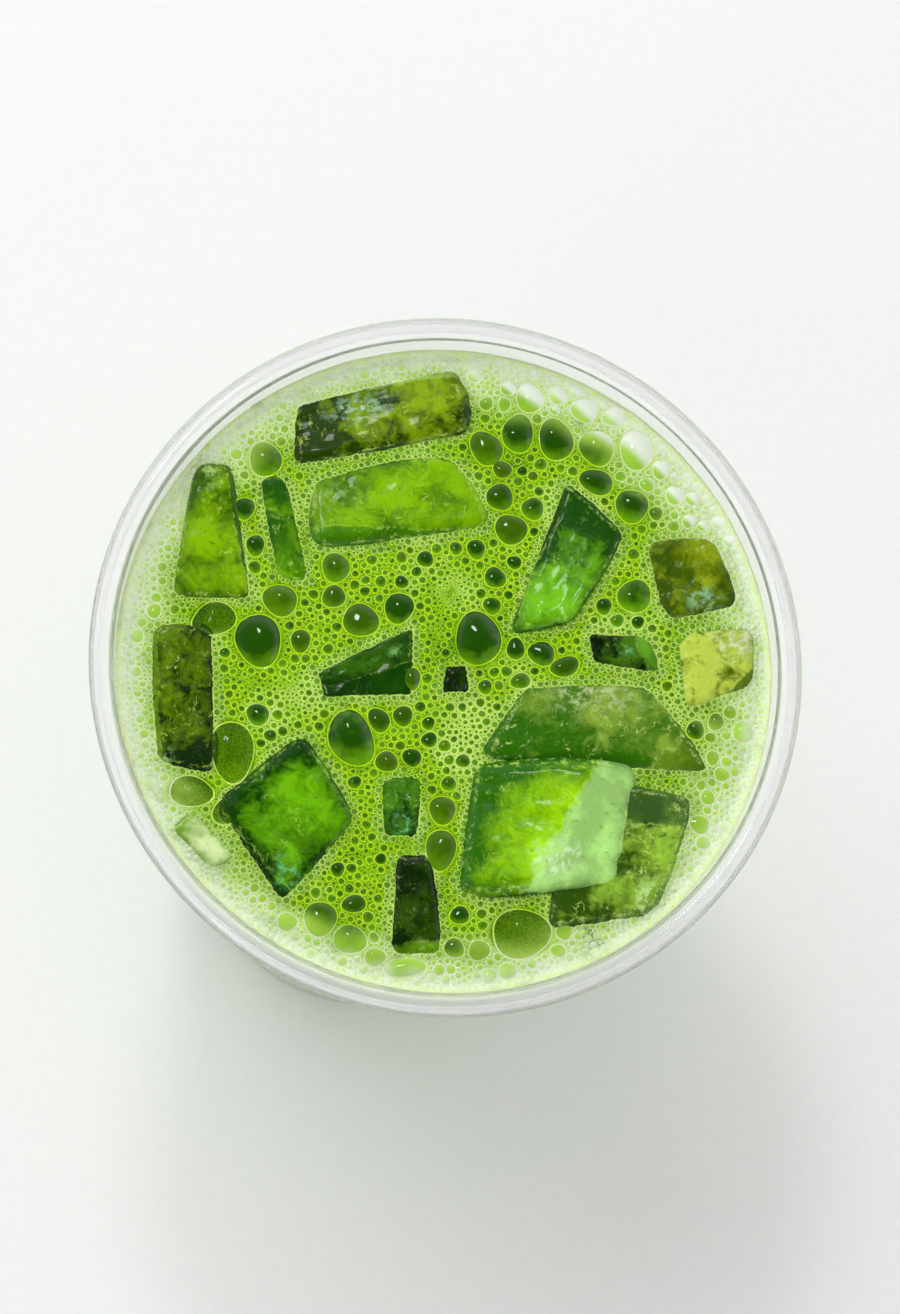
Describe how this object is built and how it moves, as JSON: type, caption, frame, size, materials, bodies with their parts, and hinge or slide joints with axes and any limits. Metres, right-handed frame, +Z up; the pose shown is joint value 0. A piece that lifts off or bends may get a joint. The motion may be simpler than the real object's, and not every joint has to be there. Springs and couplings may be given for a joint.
{
  "type": "iced matcha latte",
  "caption": "Clear tumbler of iced matcha latte, filled almost to its rolled lip, with a bubbly bright green head and melting ice floating in it.",
  "frame": {"origin": "middle of the standing ring, on the surface the tumbler stands on", "axes": "+Z up along the tumbler's axis; +X and +Y lie along the drink's surface, with the big bright block of ice towards +X and -Y"},
  "size_m": [0.098, 0.098, 0.12],
  "materials": {
    "cup": "thin clear plastic, smooth and shiny",
    "drink": "cloudy green milky tea",
    "foam": "wet bubbly yellow-green foam, pale at the wall",
    "ice": "wet melting ice, dark green from the tea below"
  },
  "bodies": {
    "root": {"cup": "cup", "drink": "drink", "foam": "foam", "ice_top": "ice", "ice_upper": "ice", "ice_upper_side": "ice", "ice_left_high": "ice", "ice_left_low": "ice", "ice_lower_left": "ice", "ice_wall_left": "ice", "ice_wedge": "ice", "ice_chip": "ice", "ice_kite": "ice", "ice_right_high": "ice", "ice_right_wall": "ice", "ice_small_dark": "ice", "ice_big_back": "ice", "ice_big": "ice", "ice_lower_right": "ice", "ice_bottom": "ice", "ice_sunken": "ice"}
  },
  "joints": []
}
